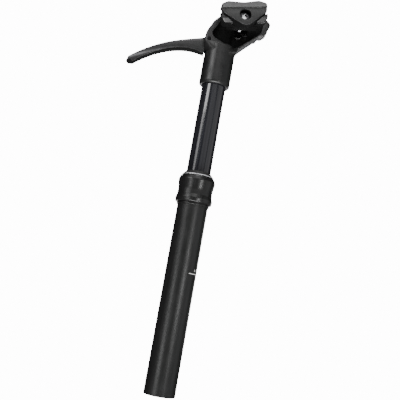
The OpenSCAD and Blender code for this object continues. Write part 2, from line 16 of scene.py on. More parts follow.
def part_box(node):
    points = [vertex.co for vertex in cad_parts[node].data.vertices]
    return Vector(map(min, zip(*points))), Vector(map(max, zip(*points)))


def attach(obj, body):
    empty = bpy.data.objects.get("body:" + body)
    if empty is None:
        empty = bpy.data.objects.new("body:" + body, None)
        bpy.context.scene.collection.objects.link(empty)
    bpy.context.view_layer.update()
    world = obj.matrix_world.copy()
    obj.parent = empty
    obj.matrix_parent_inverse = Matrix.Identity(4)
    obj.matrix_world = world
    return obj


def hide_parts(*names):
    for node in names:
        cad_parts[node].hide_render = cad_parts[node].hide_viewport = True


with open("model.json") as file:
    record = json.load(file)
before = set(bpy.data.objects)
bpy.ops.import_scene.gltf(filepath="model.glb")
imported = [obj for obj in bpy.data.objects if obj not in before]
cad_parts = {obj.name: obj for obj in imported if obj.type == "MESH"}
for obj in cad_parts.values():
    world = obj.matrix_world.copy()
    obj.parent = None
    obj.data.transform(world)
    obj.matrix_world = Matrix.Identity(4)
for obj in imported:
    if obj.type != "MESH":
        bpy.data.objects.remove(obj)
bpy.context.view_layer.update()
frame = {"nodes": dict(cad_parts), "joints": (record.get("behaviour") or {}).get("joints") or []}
nodes = frame["nodes"]
MM = 0.001
print("pieces in the frame:", len(nodes))

# %% [markdown]
# Two hinges are needed again and again below: the lever's pin and the clamp's bolt. Their places could
# be written down once more, but the frame's joints have them, and a copy could go stale. Both run
# straight across the post, so their x and z are enough.

# %% Hinges
hinges = {joint["name"]: joint["pos_m"] for joint in frame["joints"] if joint["type"] == "hinge"}
PIVOT_X, _, PIVOT_Z = hinges["lever_pull"]
BOLT_X, _, BOLT_Z = hinges["saddle_tilt"]
print("lever pin at", (PIVOT_X, PIVOT_Z), "and clamp bolt at", (BOLT_X, BOLT_Z))

# %% [markdown]
# ## The photographer's view
# The picture is taken from the post's left side, low down and looking up, with the camera rolled so
# that the post leans. A camera can be aimed with a Track To constraint, but that can't roll it, so
# its three directions are written straight into its matrix.

# %% Camera
camera_data = bpy.data.cameras.new("photo_camera")
camera_data.sensor_width = 36.0
camera_data.lens = 57.9
camera = bpy.data.objects.new("photo_camera", camera_data)
bpy.context.collection.objects.link(camera)
view_right = Vector((-0.97862, 0.11442, 0.17091))
view_up = Vector((0.18685, 0.14734, 0.97128))
view_back = view_right.cross(view_up)
camera_place = Vector((0.0503, 0.6481, 0.0870))
camera.matrix_world = Matrix((
    (view_right.x, view_up.x, view_back.x, camera_place.x),
    (view_right.y, view_up.y, view_back.y, camera_place.y),
    (view_right.z, view_up.z, view_back.z, camera_place.z),
    (0.0, 0.0, 0.0, 1.0)))
bpy.context.scene.camera = camera
print("camera looks along", [round(-c, 3) for c in view_back])

# %% [markdown]
# ## A white room
# A black object on white is the hardest thing to light, because a white room would fill every glossy
# side with grey. So the room is bright only where the camera sees it straight on, and dim in
# reflections. The Light Path node tells the two apart.

# %% Room
SEEN_STRENGTH = 14.0
MIRRORED_STRENGTH = 0.045
world = bpy.data.worlds.new("white_room")
bpy.context.scene.world = world
world.use_nodes = True
room = world.node_tree
room.nodes.clear()
light_path = room.nodes.new("ShaderNodeLightPath")
seen = room.nodes.new("ShaderNodeBackground")
seen.inputs["Color"].default_value = (1.0, 1.0, 1.0, 1.0)
seen.inputs["Strength"].default_value = SEEN_STRENGTH
mirrored = room.nodes.new("ShaderNodeBackground")
mirrored.inputs["Color"].default_value = (0.95, 0.97, 1.0, 1.0)
mirrored.inputs["Strength"].default_value = MIRRORED_STRENGTH
either = room.nodes.new("ShaderNodeMixShader")
room_out = room.nodes.new("ShaderNodeOutputWorld")
room.links.new(light_path.outputs["Is Camera Ray"], either.inputs[0])
room.links.new(mirrored.outputs[0], either.inputs[1])
room.links.new(seen.outputs[0], either.inputs[2])
room.links.new(either.outputs[0], room_out.inputs["Surface"])
print("room nodes:", len(room.nodes))

# %% [markdown]
# ## Strip lights
# A cylinder shows a light as a band along its length, and the band lies halfway between the light and
# the camera. The camera looks up, so the upper parts of the post mirror lights high over them. One big
# soft box would make the same band from end to end, so each height has its own strip. Lamps are hidden
# from the camera itself, and show only in the post.

# %% A lamp between two points
def round_the_post(angle, distance, z):
    """A point beside the post, at an angle to the camera's side of it, in degrees"""
    turn = math.atan2(camera_place.y, camera_place.x) + math.radians(angle)
    return Vector((distance * math.cos(turn), distance * math.sin(turn), z))


def strip_light(name, low_end, high_end, aim_height, width, power):
    """A soft box between two points, turned towards a point of the post's axis"""
    data = bpy.data.lights.new(name, "AREA")
    data.shape = "RECTANGLE"
    data.size = width
    data.size_y = (high_end - low_end).length
    data.energy = power
    middle = (low_end + high_end) / 2
    along = (high_end - low_end).normalized()
    away = middle - Vector((0.0, 0.0, aim_height))
    away = (away - along * away.dot(along)).normalized()
    side = along.cross(away)
    lamp = bpy.data.objects.new(name, data)
    lamp.matrix_world = Matrix((
        (side.x, along.x, away.x, middle.x), (side.y, along.y, away.y, middle.y),
        (side.z, along.z, away.z, middle.z), (0.0, 0.0, 0.0, 1.0)))
    lamp.visible_camera = False
    bpy.context.collection.objects.link(lamp)
    print(name, "at", [round(c, 2) for c in middle])


# %% [markdown]
# The left strips make the bright bands of the two tubes, and right_low a short second band and the
# collar's highlights. The right walls lift the right sides, the front ones the faces towards the
# camera. The boxes over the post catch the jaws' upper edges, the one under it the undersides of the
# clamp, and the far ones the rims that look away. An end of a strip is an angle, a distance and a
# height, in degrees and metres, and the power is in watts.

# %% Lights
STRIPS = (
    # name, low end, high end, height aimed at, width, power
    ("left_low", (-34, 1.0, -0.28), (-40, 1.0, 0.22), 0.10, 0.17, 2.1),
    ("left_mid", (-57, 1.0, 0.40), (-51, 1.0, 0.60), 0.30, 0.33, 0.75),
    ("left_high", (-47, 1.0, 0.60), (-47, 1.0, 1.00), 0.30, 0.42, 4.6),
    ("right_low", (29, 1.0, 0.08), (29, 1.0, 0.19), 0.10, 0.17, 2.0),
    ("right_high", (38, 1.0, 0.78), (38, 1.0, 0.98), 0.21, 0.16, 0.4),
    ("right_base", (80, 1.1, -0.25), (80, 1.1, 0.30), 0.10, 0.90, 1.0),
    ("right_wall", (75, 1.1, 0.30), (75, 1.1, 0.90), 0.30, 1.10, 1.2),
    ("front_wall", (16, 1.0, 0.44), (16, 1.0, 0.66), 0.30, 1.00, 0.37),
    ("front_top", (8, 1.0, 0.66), (8, 1.0, 0.82), 0.34, 0.80, 0.2),
    ("front_box", (2, 1.0, 0.80), (2, 0.9, 1.15), 0.38, 0.60, 1.8),
    ("top_box", (8, 0.05, 1.05), (8, 0.45, 1.05), 0.36, 0.50, 2.0),
    ("crown_box", (-2, 0.30, 1.00), (-2, 0.46, 0.95), 0.36, 0.40, 1.7),
    ("back_low", (165, 1.0, 0.00), (165, 1.0, 0.36), 0.36, 0.80, 2.2),
    ("low_box", (6, 0.25, -0.80), (6, 0.60, -0.80), 0.38, 0.90, 26.0),
    ("far_left", (-166, 1.0, -0.30), (-166, 1.0, 0.80), 0.25, 0.20, 2.0),
    ("far_right", (178, 1.0, -0.30), (178, 1.0, 0.80), 0.25, 0.20, 1.6),
)
for name, low_end, high_end, aim_height, width, power in STRIPS:
    strip_light(name, round_the_post(*low_end), round_the_post(*high_end), aim_height, width, power)

# %% [markdown]
# ## Finishes
# The tubes are anodised aluminium, the forged pieces are blasted before they are anodised, and the
# small parts are zinc plated steel. Colour, grain and wear could come from pictures, but noise in the
# piece's own coordinates, in metres, has the same grain on every piece and never slides when one moves.

# %% A base for all the finishes
finishes = {}


def new_finish(name, colour, metal, rough, coat=0.0, coat_rough=0.1, specular=0.5):
    """A material with a Principled shader, and object coordinates to hang patterns on"""
    material = bpy.data.materials.new(name)
    finishes[name] = material
    material.use_nodes = True
    tree = material.node_tree
    shader = tree.nodes["Principled BSDF"]
    shader.inputs["Base Color"].default_value = (*colour, 1.0)
    shader.inputs["Metallic"].default_value = metal
    shader.inputs["Roughness"].default_value = rough
    shader.inputs["Coat Weight"].default_value = coat
    shader.inputs["Coat Roughness"].default_value = coat_rough
    shader.inputs["Specular IOR Level"].default_value = specular
    place = tree.nodes.new("ShaderNodeTexCoord")
    print("finish:", name)
    return tree, shader, place.outputs["Object"]


# %% [markdown]
# Noise is never spread evenly from 0 to 1: most of it lies between 0.3 and 0.7. So each pattern is
# stretched from that range to the shades or the roughness that the finish asks for. Bumps use it as it
# is, and only their depth is given.

# %% Patterns from noise
NOISE_LOW = 0.3
NOISE_HIGH = 0.7


def noise_on(tree, where, scale, detail=3.0, stretch=(1.0, 1.0, 1.0)):
    """Noise whose grain is 1/scale metres, stretched along the piece if asked"""
    mapping = tree.nodes.new("ShaderNodeMapping")
    mapping.inputs["Scale"].default_value = stretch
    tree.links.new(where, mapping.inputs["Vector"])
    noise = tree.nodes.new("ShaderNodeTexNoise")
    noise.inputs["Scale"].default_value = scale
    noise.inputs["Detail"].default_value = detail
    tree.links.new(mapping.outputs["Vector"], noise.inputs["Vector"])
    return noise.outputs["Fac"]


def spread(tree, value, low, high):
    """A noise value mapped between two numbers"""
    remap = tree.nodes.new("ShaderNodeMapRange")
    remap.inputs["From Min"].default_value = NOISE_LOW
    remap.inputs["From Max"].default_value = NOISE_HIGH
    remap.inputs["To Min"].default_value = low
    remap.inputs["To Max"].default_value = high
    tree.links.new(value, remap.inputs["Value"])
    return remap.outputs["Result"]


def tint(tree, value, dark, light):
    """A noise value as a colour between two shades"""
    ramp = tree.nodes.new("ShaderNodeValToRGB")
    ramp.color_ramp.elements[0].position = NOISE_LOW
    ramp.color_ramp.elements[0].color = (*dark, 1.0)
    ramp.color_ramp.elements[1].position = NOISE_HIGH
    ramp.color_ramp.elements[1].color = (*light, 1.0)
    tree.links.new(value, ramp.inputs["Fac"])
    return ramp.outputs["Color"]


def grain(tree, shader, value, depth, strength):
    """A bump of that depth in metres"""
    bump = tree.nodes.new("ShaderNodeBump")
    bump.inputs["Distance"].default_value = depth
    bump.inputs["Strength"].default_value = strength
    tree.links.new(value, bump.inputs["Height"])
    tree.links.new(bump.outputs["Normal"], shader.inputs["Normal"])


# %% [markdown]
# The outer tube is drawn, so faint streaks run along it, under a satin black skin. One even black would
# look like plastic, so noise that is stretched along the tube makes the streaks. The collar is turned
# and a little smoother, and the same recipe gives it a lower range of roughness.

# %% Satin black of the outer tube and the collar
def satin_black(name, rough_low, rough_high):
    tree, shader, where = new_finish(name, (0.009, 0.009, 0.009), 0.0, rough_low)
    streaks = noise_on(tree, where, 500.0, 4.0, (1.0, 1.0, 0.03))
    blotch = noise_on(tree, where, 60.0)
    fine = noise_on(tree, where, 4000.0, 2.0)
    skin = tint(tree, streaks, (0.006, 0.006, 0.006), (0.011, 0.011, 0.011))
    tree.links.new(skin, shader.inputs["Base Color"])
    tree.links.new(spread(tree, blotch, rough_low, rough_high), shader.inputs["Roughness"])
    grain(tree, shader, fine, 0.03 * MM, 0.25)


satin_black("satin_black", 0.34, 0.42)
satin_black("collar_black", 0.30, 0.35)

# %% [markdown]
# The sliding tube is polished and hard anodised, since seals run on it. A low roughness alone could make
# it shine, but would hide the streaks of the drawing. So a thin clear coat over the black gives the
# sharp bands, and the streaks stay visible under it.

# %% Gloss black of the sliding tube
def gloss_black():
    tree, shader, where = new_finish(
        "gloss_black", (0.010, 0.010, 0.013), 0.0, 0.16, coat=0.6, coat_rough=0.06)
    drawn = noise_on(tree, where, 900.0, 2.0, (1.0, 1.0, 0.02))
    skin = tint(tree, drawn, (0.008, 0.008, 0.010), (0.016, 0.016, 0.021))
    tree.links.new(skin, shader.inputs["Base Color"])
    tree.links.new(spread(tree, drawn, 0.12, 0.22), shader.inputs["Roughness"])


gloss_black()

# %% [markdown]
# The head, the lever and the clamp are blasted, which leaves a fine even grain. Their edges are rubbed
# grey in use. The Pointiness output could find the edges, but it changes with the mesh's density. So
# the mesh has an attribute for them, made further down, and scuffs break it up. On the lever the same
# attribute also carries a painted highlight along its sides, which this grey lightens.

# %% Blasted black of the forgings
def forged_black():
    tree, shader, where = new_finish("forged_black", (0.012, 0.012, 0.012), 0.0, 0.40)
    patches = noise_on(tree, where, 90.0, 4.0)
    blast = noise_on(tree, where, 2600.0, 3.0)
    scuffs = noise_on(tree, where, 260.0, 5.0)
    skin = tint(tree, patches, (0.005, 0.005, 0.005), (0.010, 0.010, 0.010))
    # The grey mix is real wear on the edges, and a painted highlight along the lever's sides.
    edge = tree.nodes.new("ShaderNodeAttribute")
    edge.attribute_name = "edge_wear"
    wear_highlight_amount = tree.nodes.new("ShaderNodeMath")
    wear_highlight_amount.operation = "MULTIPLY"
    tree.links.new(edge.outputs["Fac"], wear_highlight_amount.inputs[0])
    tree.links.new(spread(tree, scuffs, 0.25, 1.0), wear_highlight_amount.inputs[1])
    wear_and_highlight = tree.nodes.new("ShaderNodeMix")
    wear_and_highlight.data_type = "RGBA"
    wear_and_highlight.inputs["B"].default_value = (0.220, 0.220, 0.226, 1.0)
    tree.links.new(wear_highlight_amount.outputs[0], wear_and_highlight.inputs["Factor"])
    tree.links.new(skin, wear_and_highlight.inputs["A"])
    tree.links.new(wear_and_highlight.outputs["Result"], shader.inputs["Base Color"])
    tree.links.new(spread(tree, patches, 0.34, 0.46), shader.inputs["Roughness"])
    grain(tree, shader, blast, 0.06 * MM, 0.35)


forged_black()

# %% [markdown]
# The head's pockets, the clamp's inner faces and the lever's underside get a painted shade: a near-black,
# dull finish stands in for the shade that falls deep inside them. A darker colour alone would still
# shine, so a low specular level keeps it black even where a lamp shines in.

# %% Painted shade for the pockets and undersides
def pocket_black():
    tree, shader, where = new_finish(
        "pocket_black", (0.004, 0.004, 0.004), 0.0, 0.85, specular=0.12)
    shade_mottle = noise_on(tree, where, 400.0, 3.0)
    skin = tint(tree, shade_mottle, (0.003, 0.003, 0.003), (0.007, 0.007, 0.007))
    tree.links.new(skin, shader.inputs["Base Color"])
    tree.links.new(spread(tree, shade_mottle, 0.75, 0.92), shader.inputs["Roughness"])
    grain(tree, shader, shade_mottle, 0.08 * MM, 0.3)


pocket_black()

# %% [markdown]
# The ring on the collar is bare aluminium, and the pieces inside the post are plain turned alloy, zinc
# plated steel and brass. Each could have a recipe of its own, but they differ only in colour and polish,
# so one makes them all.

# %% Bright and plain metals
def bright_metal(name, dark, light, rough_low, rough_high):
    tree, shader, where = new_finish(name, light, 1.0, rough_low)
    marks = noise_on(tree, where, 700.0, 3.0, (1.0, 1.0, 0.15))
    tree.links.new(tint(tree, marks, dark, light), shader.inputs["Base Color"])
    tree.links.new(spread(tree, marks, rough_low, rough_high), shader.inputs["Roughness"])


bright_metal("bright_edge", (0.80, 0.81, 0.82), (0.92, 0.93, 0.94), 0.40, 0.55)
bright_metal("turned_alloy", (0.30, 0.31, 0.33), (0.42, 0.43, 0.45), 0.28, 0.42)
bright_metal("zinc_steel", (0.58, 0.60, 0.63), (0.78, 0.79, 0.80), 0.20, 0.36)
bright_metal("key_brass", (0.50, 0.36, 0.12), (0.66, 0.50, 0.20), 0.25, 0.40)

# %% [markdown]
# The clamp bolt is bright steel, and its head is black outside the socket: a painted shade of the
# counterbore it sits in, while the socket stays bright. Two materials could be set on its faces, but the
# bolt is a CAD piece and stays as it is. So one material finds the black ring by itself: far enough
# along the bolt, and outside the socket's radius.

# %% Bright bolt with a painted shade on its head
BOLT_HEAD_FROM = 24.0 * MM
SOCKET_R = 2.3 * MM
BLACK_FROM_R = 2.8 * MM


def worn_bolt():
    tree, shader, where = new_finish("worn_bolt", (0.7, 0.7, 0.7), 1.0, 0.25)
    from_axis = tree.nodes.new("ShaderNodeMapping")
    from_axis.inputs["Location"].default_value = (-BOLT_X, 0.0, -BOLT_Z)
    tree.links.new(where, from_axis.inputs["Vector"])
    flat = tree.nodes.new("ShaderNodeVectorMath")
    flat.operation = "MULTIPLY"
    flat.inputs[1].default_value = (1.0, 0.0, 1.0)
    tree.links.new(from_axis.outputs["Vector"], flat.inputs[0])
    radius = tree.nodes.new("ShaderNodeVectorMath")
    radius.operation = "LENGTH"
    tree.links.new(flat.outputs["Vector"], radius.inputs[0])
    rim = tree.nodes.new("ShaderNodeMapRange")
    rim.inputs["From Min"].default_value = SOCKET_R
    rim.inputs["From Max"].default_value = BLACK_FROM_R
    tree.links.new(radius.outputs["Value"], rim.inputs["Value"])
    split = tree.nodes.new("ShaderNodeSeparateXYZ")
    tree.links.new(where, split.inputs[0])
    on_head = tree.nodes.new("ShaderNodeMath")
    on_head.operation = "GREATER_THAN"
    on_head.inputs[1].default_value = BOLT_HEAD_FROM
    tree.links.new(split.outputs["Y"], on_head.inputs[0])
    black = tree.nodes.new("ShaderNodeMath")
    black.operation = "MULTIPLY"
    tree.links.new(on_head.outputs[0], black.inputs[0])
    tree.links.new(rim.outputs["Result"], black.inputs[1])
    marks = noise_on(tree, where, 900.0, 3.0)
    head_shade = tree.nodes.new("ShaderNodeMix")
    head_shade.data_type = "RGBA"
    head_shade.inputs["B"].default_value = (0.03, 0.03, 0.032, 1.0)
    tree.links.new(black.outputs[0], head_shade.inputs["Factor"])
    tree.links.new(tint(tree, marks, (0.72, 0.73, 0.74), (0.90, 0.90, 0.91)), head_shade.inputs["A"])
    tree.links.new(head_shade.outputs["Result"], shader.inputs["Base Color"])
    tree.links.new(spread(tree, marks, 0.16, 0.36), shader.inputs["Roughness"])


worn_bolt()

# %% [markdown]
# Seals are rubber, the bushings a bearing plastic, the washer is blackened steel that looks much the
# same, and the printed mark is a dull white ink. None of them is metal to the eye, and each has a fine
# mottle, so these share a recipe too.

# %% Rubber, plastic and ink
def soft_mottle(name, dark, light, rough_low, rough_high):
    tree, shader, where = new_finish(name, light, 0.0, rough_low)
    mottle = noise_on(tree, where, 800.0, 3.0)
    tree.links.new(tint(tree, mottle, dark, light), shader.inputs["Base Color"])
    tree.links.new(spread(tree, mottle, rough_low, rough_high), shader.inputs["Roughness"])
    grain(tree, shader, mottle, 0.04 * MM, 0.3)


soft_mottle("wiper_rubber", (0.008, 0.008, 0.008), (0.014, 0.014, 0.014), 0.55, 0.75)
soft_mottle("pin_black", (0.010, 0.010, 0.011), (0.018, 0.018, 0.020), 0.30, 0.42)
soft_mottle("mark_white", (0.62, 0.62, 0.60), (0.78, 0.78, 0.76), 0.45, 0.60)
soft_mottle("bearing_plastic", (0.22, 0.24, 0.20), (0.32, 0.34, 0.30), 0.45, 0.60)

# %% [markdown]
# ## Dressing the frame
# Each CAD piece keeps its shape and only changes its material. That could be done piece by piece, but
# one table of names shows at a glance which finish each piece has.

# %% Finishes for the frame's pieces
# The pivot pin takes the black of the painted shade, so its end shows dark in the lever.
node_finish = {
    "outer_tube": "satin_black", "seal_collar": "collar_black", "wiper_ring": "bright_edge",
    "wiper_seal": "wiper_rubber", "upper_bushing": "bearing_plastic", "base_plug": "turned_alloy",
    "base_clip": "zinc_steel", "base_screw": "zinc_steel", "cartridge_tube": "turned_alloy",
    "cartridge_gland": "turned_alloy", "rod_seal": "wiper_rubber", "stanchion": "gloss_black",
    "lower_bushing": "bearing_plastic", "guide_keys": "key_brass", "head": "forged_black",
    "pivot_pin": "pocket_black", "piston_rod": "zinc_steel", "piston": "turned_alloy",
    "piston_seal": "wiper_rubber", "rod_nut": "key_brass", "lever": "forged_black",
    "adjuster_screw": "zinc_steel", "adjuster_nut": "zinc_steel", "release_pin": "zinc_steel",
    "floating_piston": "turned_alloy", "floating_seal": "wiper_rubber", "rail_cradle": "forged_black",
    "left_jaw": "forged_black", "right_jaw": "forged_black", "clamp_bolt": "worn_bolt",
    "clamp_washer": "pin_black", "clamp_nut": "zinc_steel",
}
for name, finish in node_finish.items():
    for material_slot in nodes[name].material_slots:
        material_slot.material = finishes[finish]
print("dressed", len(node_finish), "pieces")

# %% [markdown]
# ## Soft forged edges
# A forging has no sharp edge: the die rounds every corner by half a millimetre or so. A bevel on a
# CAD mesh breaks where many small faces meet. So the piece is copied, covered with an even voxel skin,
# and smoothed a few times, which rounds every edge alike. Where a vertex stands above its neighbours
# the edge is rubbed in use, and that goes into an attribute that the finish reads.

# %% How much each edge is rubbed
EDGE_START = 0.05
EDGE_RANGE = 0.15
EDGE_MOST = 0.45


def mark_edges(mesh):
    """Stores 0 on flat and hollow places and up to EDGE_MOST on the outer edges"""
    places = np.empty(len(mesh.vertices) * 3, dtype=np.float32)
    mesh.vertices.foreach_get("co", places)
    places = places.reshape(-1, 3)
    normals = np.empty(len(mesh.vertices) * 3, dtype=np.float32)
    mesh.vertices.foreach_get("normal", normals)
    normals = normals.reshape(-1, 3)
    pairs = np.empty(len(mesh.edges) * 2, dtype=np.int32)
    mesh.edges.foreach_get("vertices", pairs)
    a, b = pairs.reshape(-1, 2).T
    step = places[b] - places[a]
    step /= np.maximum(np.linalg.norm(step, axis=1, keepdims=True), 1e-9)
    fall = np.zeros(len(places))
    count = np.zeros(len(places))
    np.add.at(fall, a, -(step * normals[a]).sum(1))
    np.add.at(fall, b, (step * normals[b]).sum(1))
    np.add.at(count, a, 1)
    np.add.at(count, b, 1)
    wear_and_highlight = EDGE_MOST * np.clip((fall / np.maximum(count, 1) - EDGE_START) / EDGE_RANGE, 0.0, 1.0)
    layer = mesh.attributes.new("edge_wear", "FLOAT", "POINT")
    layer.data.foreach_set("value", wear_and_highlight.astype(np.float32))
    return float(wear_and_highlight.mean())


# %% [markdown]
# A CAD mesh is loose triangles, so its doubles are merged before the skin goes over it. The copy then
# stands for the CAD piece, on the same body and with the same slot of the material list.

# %% Soft copies of the forged pieces
def soft_forging(name, node, body, voxel, rounds):
    """A copy of a CAD piece with rounded edges, which stands for it in the picture"""
    mesh = nodes[node].data.copy()
    work = bmesh.new()
    work.from_mesh(mesh)
    bmesh.ops.remove_doubles(work, verts=work.verts, dist=0.001 * MM)
    work.to_mesh(mesh)
    work.free()
    piece = bpy.data.objects.new(name, mesh)
    bpy.context.collection.objects.link(piece)
    skin = piece.modifiers.new("even_skin", "REMESH")
    skin.mode = "VOXEL"
    skin.voxel_size = voxel
    softer = piece.modifiers.new("round_edges", "SMOOTH")
    softer.factor = 0.5
    softer.iterations = rounds
    graph = bpy.context.evaluated_depsgraph_get()
    piece.data = bpy.data.meshes.new_from_object(piece.evaluated_get(graph))
    piece.modifiers.clear()
    piece.data.materials.clear()
    piece.data.materials.append(finishes["forged_black"])
    piece.data.polygons.foreach_set("use_smooth", [True] * len(piece.data.polygons))
    wear = mark_edges(piece.data)
    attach(piece, body)
    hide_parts(node)
    print(name, len(piece.data.polygons), "faces, rubbed on average", round(wear, 3))
    return piece


head_piece = soft_forging("forged_head", "head", "inner_post", 0.55 * MM, 5)
lever_piece = soft_forging("forged_lever", "lever", "lever", 0.40 * MM, 3)
cradle_piece = soft_forging("forged_cradle", "rail_cradle", "saddle_clamp", 0.45 * MM, 5)
left_piece = soft_forging("forged_left_jaw", "left_jaw", "saddle_clamp", 0.40 * MM, 6)
right_piece = soft_forging("forged_right_jaw", "right_jaw", "saddle_clamp", 0.40 * MM, 6)

# %% [markdown]
# An even skin leaves a small bore a little rough, and the lever would rub on its pin. A finer skin would
# need many more faces, so the vertices of that bore are set back to one radius, just over the pin's.

# %% Round bore of the lever
BORE_R = 2.1 * MM
BORE_ROUGHNESS = 0.3 * MM
bored = 0
for vertex in lever_piece.data.vertices:
    off = Vector((vertex.co.x - PIVOT_X, vertex.co.z - PIVOT_Z))
    if off.length < BORE_R + BORE_ROUGHNESS:
        off *= BORE_R / off.length
        vertex.co.x = PIVOT_X + off.x
        vertex.co.z = PIVOT_Z + off.y
        bored += 1
print("bore vertices:", bored)

# %% [markdown]
# The lower corner of the lever's root comes close up to the sleeve, so its vertices are drawn in by a
# little over a millimetre, less and less away from the corner. A lattice could do that too, but two
# slopes say plainly how far the pull reaches. The slot there is wider than the lever, and the corner
# swings away from the sleeve when the lever is pulled.

# %% Root corner of the lever
CORNER_PULL = 1.5 * MM
CORNER_X = 26.0 * MM
CORNER_LENGTH = 7.0 * MM
CORNER_Z = 358.0 * MM
CORNER_HEIGHT = 4.0 * MM


def share(value):
    """A number held between 0 and 1"""
    return min(1.0, max(0.0, value))


drawn_in = 0
for vertex in lever_piece.data.vertices:
    beside = share((CORNER_X - vertex.co.x) / CORNER_LENGTH)
    below = share((CORNER_Z - vertex.co.z) / CORNER_HEIGHT)
    if beside * below > 0.0:
        vertex.co.x -= CORNER_PULL * beside * below
        drawn_in += 1
print("root vertices drawn in:", drawn_in)

# %% [markdown]
# Under the bevel along its top, a jaw's face has a shallow hollow, so the bevel's edge stands out as
# a soft lip. A boolean would cut it with a hard rim. So the vertices of the face are pushed in by a
# bell curve across the hollow, steep above and long below, which fades out at the jaw's ends. The clamp
# sits nose down on the head, so length and height are measured along its tilt.

# %% Hollow under the jaws' lip
CLAMP_TILT = math.radians(13.5)
JAW_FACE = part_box("left_jaw")[1][1]
FACE_LAYER = 0.7 * MM
HOLLOW_DEPTH = 0.55 * MM
HOLLOW_HEIGHT = 6.6 * MM
REACH_ABOVE = 0.9 * MM
REACH_BELOW = 4.5 * MM
JAW_HALF = 23.0 * MM
END_FADE = 4.0 * MM
for jaw_piece in (left_piece, right_piece):
    pushed = 0
    for vertex in jaw_piece.data.vertices:
        if abs(vertex.co.y) > JAW_FACE - FACE_LAYER:
            x = vertex.co.x - BOLT_X
            z = vertex.co.z - BOLT_Z
            along = x * math.cos(CLAMP_TILT) - z * math.sin(CLAMP_TILT)
            height = x * math.sin(CLAMP_TILT) + z * math.cos(CLAMP_TILT)
            reach = REACH_ABOVE if height > HOLLOW_HEIGHT else REACH_BELOW
            hollow = math.exp(-((height - HOLLOW_HEIGHT) / reach) ** 2)
            ends = share((JAW_HALF - abs(along)) / END_FADE)
            vertex.co.y -= math.copysign(HOLLOW_DEPTH * hollow * ends, vertex.co.y)
            pushed += 1
    print(jaw_piece.name, "face vertices:", pushed)

# %% [markdown]
# The pockets at the head's sides, the inner faces of the clamp and the lever's underside get a painted
# shade: a second, near-black finish stands in for the shade that falls there. They could be picked by
# hand in Edit Mode, but a test does it again on any new mesh: the faces are found by where they are and
# which way they look. Each part of a normal runs from -1 to 1.

# %% A second finish for some faces
def refinish(piece, finish, picked):
    """Gives another finish to the faces that a test picks by their centre and normal"""
    piece.data.materials.append(finishes[finish])
    number = len(piece.data.materials) - 1
    count = 0
    for face in piece.data.polygons:
        if picked(face.center, face.normal):
            face.material_index = number
            count += 1
    print(piece.name, finish, "faces:", count)


# %% [markdown]
# A pocket has three kinds of faces: its floor, which is the web in the middle of the head and a little
# thicker in front, the front wall, and the barrel that the clamp turns on. The underside of the
# barrel's far end catches some light and stays as it is.

# %% Painted shade in the head's pockets
POCKET_LOW = 358.0 * MM
POCKET_BACK = -41.0 * MM
POCKET_FRONT = 13.0 * MM
FRONT_FLOOR = 7.6 * MM
REAR_FLOOR = 6.0 * MM
FLOOR_STEP = -9.0 * MM
FRONT_WALL = 12.2 * MM
BARREL_END = 18.6 * MM
BARREL_REACH = 17.5 * MM
FAR_END = -10.5 * MM


def in_pocket(place, normal):
    x, y, z = place
    from_bolt = math.hypot(x - BOLT_X, z - BOLT_Z)
    floor_y = FRONT_FLOOR if x > FLOOR_STEP else REAR_FLOOR
    on_floor = abs(y) < floor_y and POCKET_BACK < x < POCKET_FRONT and abs(normal.y) > 0.3
    on_front_wall = abs(y) < FRONT_WALL and 0.0 < x < POCKET_FRONT and normal.x < -0.35
    on_barrel = abs(y) < BARREL_END and from_bolt < BARREL_REACH and normal.z < 0.5
    under_far_end = y < FAR_END and normal.z < -0.8
    return z > POCKET_LOW and (on_floor or on_front_wall or on_barrel and not under_far_end)


refinish(head_piece, "pocket_black", in_pocket)

# %% [markdown]
# The clamp's inner faces are those of the cradle between the rails that don't look up, and those of a
# jaw that look down or towards the post. Down means along the tilted clamp's own height.

# %% Painted shade on the clamp's inner faces
CRADLE_INSIDE = 26.5 * MM
JAW_INSIDE = 35.0 * MM
DOWN = Vector((-math.sin(CLAMP_TILT), 0.0, -math.cos(CLAMP_TILT)))


def inside_clamp(place, normal):
    return abs(place.y) < CRADLE_INSIDE and normal.dot(DOWN) > -0.3


def under_jaw(place, normal):
    inward = -normal.y * math.copysign(1.0, place.y)
    return normal.dot(DOWN) > 0.45 and abs(place.y) < JAW_INSIDE or inward > 0.4


refinish(cradle_piece, "pocket_black", inside_clamp)
refinish(left_piece, "pocket_black", under_jaw)
refinish(right_piece, "pocket_black", under_jaw)

# %% [markdown]
# The lever's underside gets the painted shade too. Towards the tip the sides turn under more slowly, so
# the limit rises along the lever.

# %% Painted shade on the lever's underside
LEVER_FROM = 30.0 * MM
LEVER_SPAN = 60.0 * MM


def along_lever(place):
    """From 0 at the lever's root to 1 near its tip"""
    return share((place.x - LEVER_FROM) / LEVER_SPAN)


def under_lever(place, normal):
    return normal.z < -0.5 + 0.2 * along_lever(place)


refinish(lever_piece, "pocket_black", under_lever)

# %% [markdown]
# A painted highlight runs along the lever's sides, which starts low near the root and climbs towards the
# tip, where it is brightest. It could be painted by hand, but the lever's own shape can lead it. The
# lever curves, so the height is measured between the lowest and the highest vertex of each slice of it.

# %% Lowest and highest places along the lever
SLICE = 1.0 * MM
spots = np.array([vertex.co for vertex in lever_piece.data.vertices])
first = spots[:, 0].min()
slice_of = ((spots[:, 0] - first) / SLICE).astype(int)
lowest = np.full(slice_of.max() + 1, np.inf)
highest = np.full(slice_of.max() + 1, -np.inf)
np.minimum.at(lowest, slice_of, spots[:, 2])
np.maximum.at(highest, slice_of, spots[:, 2])
middles = first + (np.arange(len(lowest)) + 0.5) * SLICE
under = np.interp(spots[:, 0], middles, lowest)
above = np.interp(spots[:, 0], middles, highest)
print("slices of the lever:", len(lowest))
